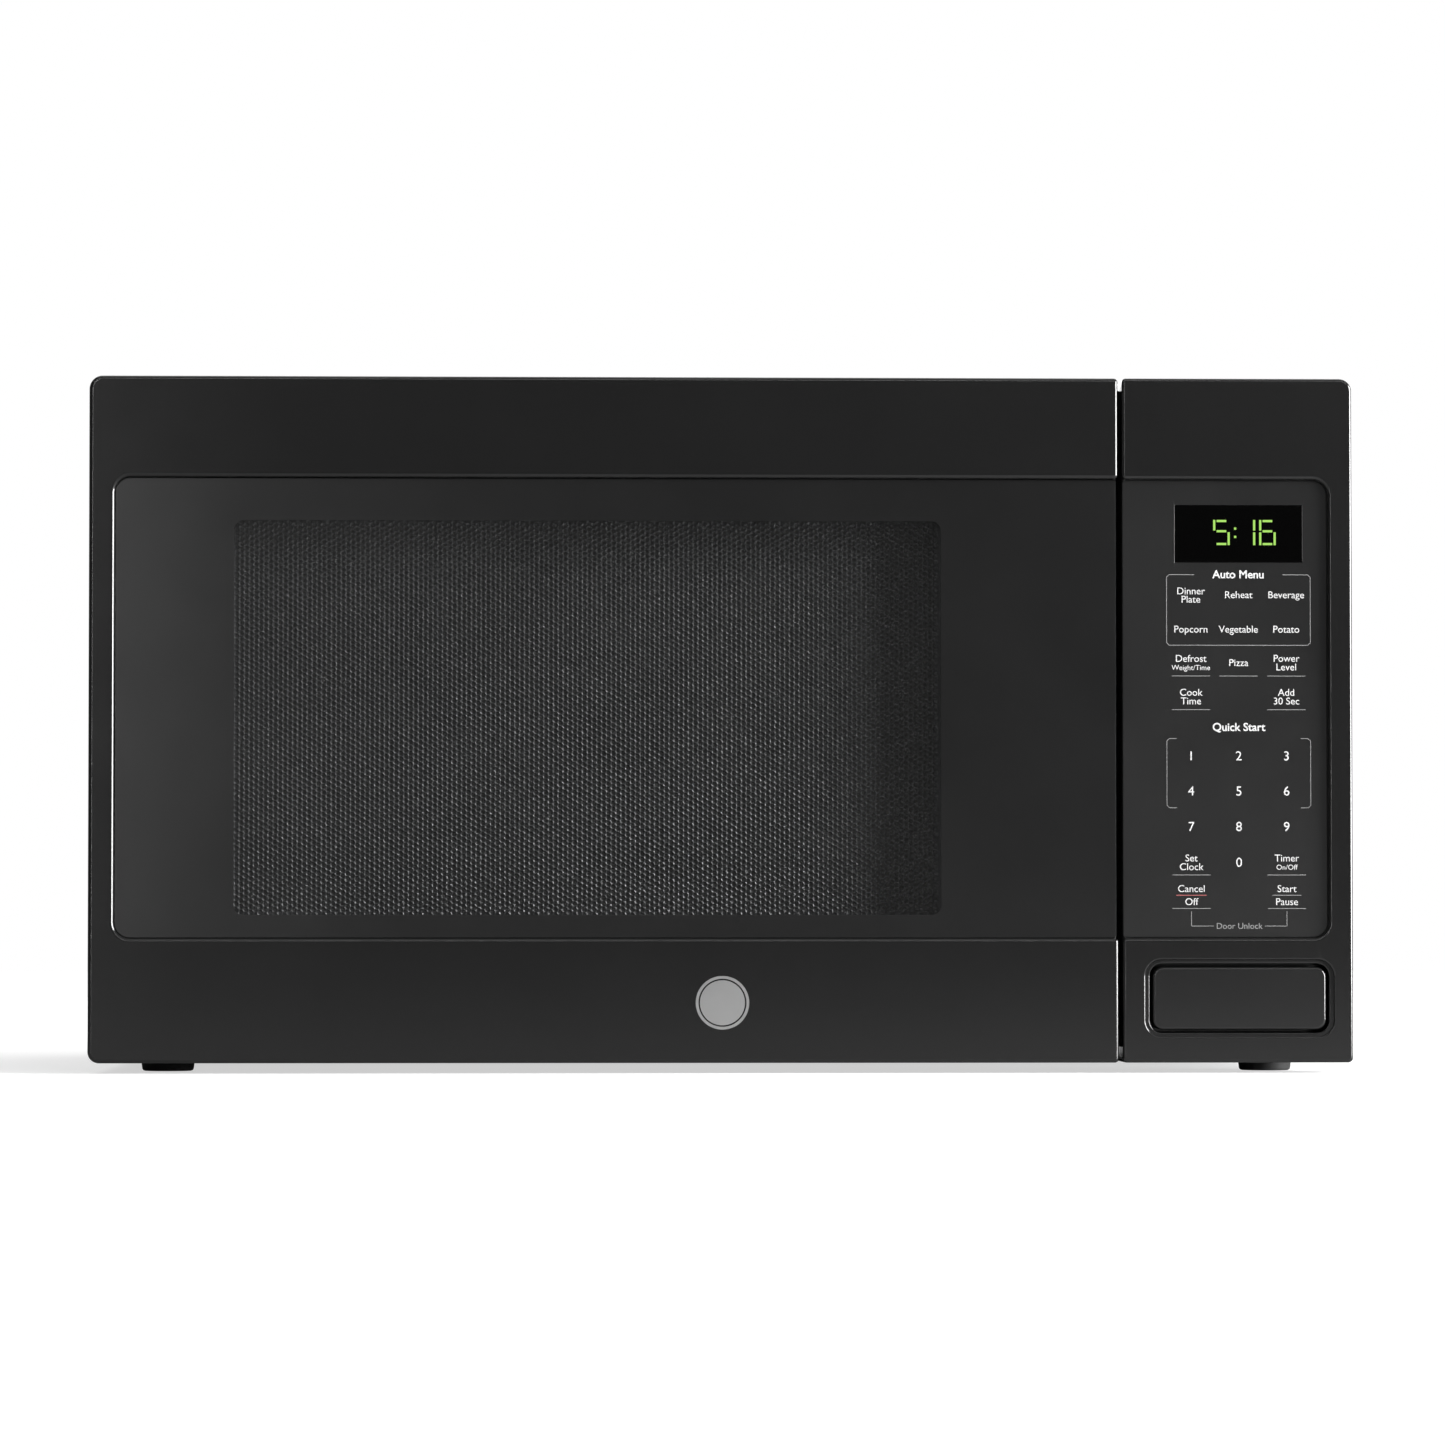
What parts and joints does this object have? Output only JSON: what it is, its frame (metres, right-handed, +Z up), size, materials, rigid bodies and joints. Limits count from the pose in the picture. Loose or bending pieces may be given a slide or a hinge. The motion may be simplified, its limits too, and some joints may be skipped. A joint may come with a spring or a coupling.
{
  "type": "microwave oven",
  "caption": "Black countertop microwave oven with a side-opening mesh-window door, a push-button latch, a control panel with a clock display, and a turntable.",
  "frame": {"origin": "centre of the footprint, on the counter under the feet", "axes": "+X to the right seen from the front, +Y towards the rear, +Z up"},
  "size_m": [0.61, 0.495, 0.336],
  "materials": {
    "painted_steel_black": "semi-gloss",
    "galvanised_steel": "satin",
    "cavity_enamel": "semi-gloss",
    "black_moulding": "semi-gloss",
    "smoked_window": "gloss",
    "keypad_film": "satin",
    "display_acrylic": "gloss",
    "perforated_steel": "satin",
    "badge_metal": "satin",
    "foot_rubber": "matte",
    "natural_nylon": "matte",
    "tray_glass": "gloss",
    "zinc_plate": "satin",
    "spring_steel": "gloss",
    "transformer_steel": "satin",
    "enamelled_copper": "semi-gloss",
    "aluminium_sheet": "satin",
    "circuit_board": "satin",
    "dark_phenolic": "matte",
    "red_plastic": "satin",
    "mica": "satin",
    "lamp_glass": "gloss"
  },
  "bodies": {
    "cabinet": {"cabinet_wrap": "painted_steel_black", "base_plate": "galvanised_steel", "rear_panel": "galvanised_steel", "feet": "foot_rubber", "front_frame": "painted_steel_black", "cavity_liner": "cavity_enamel", "wave_inlet_cover": "mica", "waveguide": "galvanised_steel", "magnetron": "galvanised_steel", "magnetron_fins": "aluminium_sheet", "magnetron_filter_box": "galvanised_steel", "transformer_core": "transformer_steel", "transformer_windings": "enamelled_copper", "capacitor": "aluminium_sheet", "capacitor_strap": "galvanised_steel", "diode": "dark_phenolic", "fan_motor": "transformer_steel", "fan_shroud": "natural_nylon", "air_duct": "natural_nylon", "exhaust_duct": "natural_nylon", "lamp_housing": "natural_nylon", "lamp": "lamp_glass", "humidity_sensor": "galvanised_steel", "thermal_cutouts": "dark_phenolic", "turntable_motor": "galvanised_steel", "panel_fascia": "black_moulding", "keypad_overlay": "keypad_film", "display_lens": "display_acrylic", "display_module": "dark_phenolic", "control_board": "circuit_board", "latch_board": "natural_nylon", "interlock_switches": "dark_phenolic", "filter_board": "circuit_board", "fuse": "lamp_glass", "hinge_upper": "galvanised_steel", "hinge_lower": "galvanised_steel", "screws": "zinc_plate", "cord_bush": "foot_rubber"},
    "door": {"door_fascia": "black_moulding", "door_window": "smoked_window", "door_screen": "perforated_steel", "choke_frame": "galvanised_steel", "choke_cover": "black_moulding", "door_badge": "badge_metal"},
    "hooks": {"latch_hooks": "natural_nylon", "latch_spring": "spring_steel"},
    "button": {"release_button": "black_moulding", "button_spring": "spring_steel"},
    "lever": {"release_lever": "natural_nylon"},
    "hub": {"drive_hub": "natural_nylon"},
    "tray": {"glass_tray": "tray_glass"},
    "ring": {"roller_ring": "natural_nylon"},
    "wheel_a": {"roller_a": "natural_nylon"},
    "wheel_b": {"roller_b": "natural_nylon"},
    "wheel_c": {"roller_c": "natural_nylon"},
    "fan": {"fan_blade": "natural_nylon"},
    "plunger_a": {"switch_plunger_a": "red_plastic"},
    "plunger_b": {"switch_plunger_b": "red_plastic"},
    "plunger_c": {"switch_plunger_c": "red_plastic"}
  },
  "joints": [
    {"name": "door_hinge", "type": "hinge", "parent": "cabinet", "child": "door", "pos_m": [-0.297, -0.2235, 0.1705], "axis": [0, 0, -1], "range_deg": [0, 105]},
    {"name": "hook_lift", "type": "slide", "parent": "door", "child": "hooks", "axis": [0, 0, 1], "range_m": [0, 0.004], "deforming": ["latch_spring"]},
    {"name": "button_press", "type": "slide", "parent": "cabinet", "child": "button", "axis": [0, 1, 0], "range_m": [0, 0.005], "stiffness_N_per_m": 400, "springref_m": -0.001, "deforming": ["button_spring"]},
    {"name": "lever_tip", "type": "hinge", "parent": "cabinet", "child": "lever", "pos_m": [0.24995, -0.203, 0.054], "axis": [1, 0, 0], "range_deg": [0, 17.9]},
    {"name": "hub_turn", "type": "hinge", "parent": "cabinet", "child": "hub", "pos_m": [-0.066, 0.001, 0.042], "axis": [0, 0, 1], "continuous": true},
    {"name": "tray_lift", "type": "slide", "parent": "hub", "child": "tray", "axis": [0, 0, 1], "range_m": [0, 0.04]},
    {"name": "ring_roll", "type": "hinge", "parent": "cabinet", "child": "ring", "pos_m": [-0.066, 0.001, 0.0493], "axis": [0, 0, 1], "continuous": true},
    {"name": "wheel_a_spin", "type": "hinge", "parent": "ring", "child": "wheel_a", "pos_m": [0.074, 0.001, 0.0493], "axis": [1, 0, 0], "continuous": true},
    {"name": "wheel_b_spin", "type": "hinge", "parent": "ring", "child": "wheel_b", "pos_m": [-0.136, 0.12224, 0.0493], "axis": [-0.5, 0.866, 0], "continuous": true},
    {"name": "wheel_c_spin", "type": "hinge", "parent": "ring", "child": "wheel_c", "pos_m": [-0.136, -0.12024, 0.0493], "axis": [-0.5, -0.866, 0], "continuous": true},
    {"name": "fan_spin", "type": "hinge", "parent": "cabinet", "child": "fan", "pos_m": [0.2275, 0.2182, 0.1825], "axis": [0, 1, 0], "continuous": true},
    {"name": "plunger_a_press", "type": "slide", "parent": "cabinet", "child": "plunger_a", "axis": [0, 1, 0], "range_m": [0, 0.001], "stiffness_N_per_m": 200, "springref_m": -0.0005},
    {"name": "plunger_b_press", "type": "slide", "parent": "cabinet", "child": "plunger_b", "axis": [0, 1, 0], "range_m": [0, 0.001], "stiffness_N_per_m": 200, "springref_m": -0.0005},
    {"name": "plunger_c_press", "type": "slide", "parent": "cabinet", "child": "plunger_c", "axis": [0, 1, 0], "range_m": [0, 0.001], "stiffness_N_per_m": 200, "springref_m": -0.0005}
  ],
  "couplings": [
    {"joint": "lever_tip", "follows": "button_press", "rad_per_m": 62.5},
    {"joint": "hook_lift", "follows": "button_press", "ratio": 0.8},
    {"joint": "ring_roll", "follows": "hub_turn", "ratio": 0.5},
    {"joint": "wheel_a_spin", "follows": "hub_turn", "ratio": -10},
    {"joint": "wheel_b_spin", "follows": "hub_turn", "ratio": -10},
    {"joint": "wheel_c_spin", "follows": "hub_turn", "ratio": -10}
  ]
}
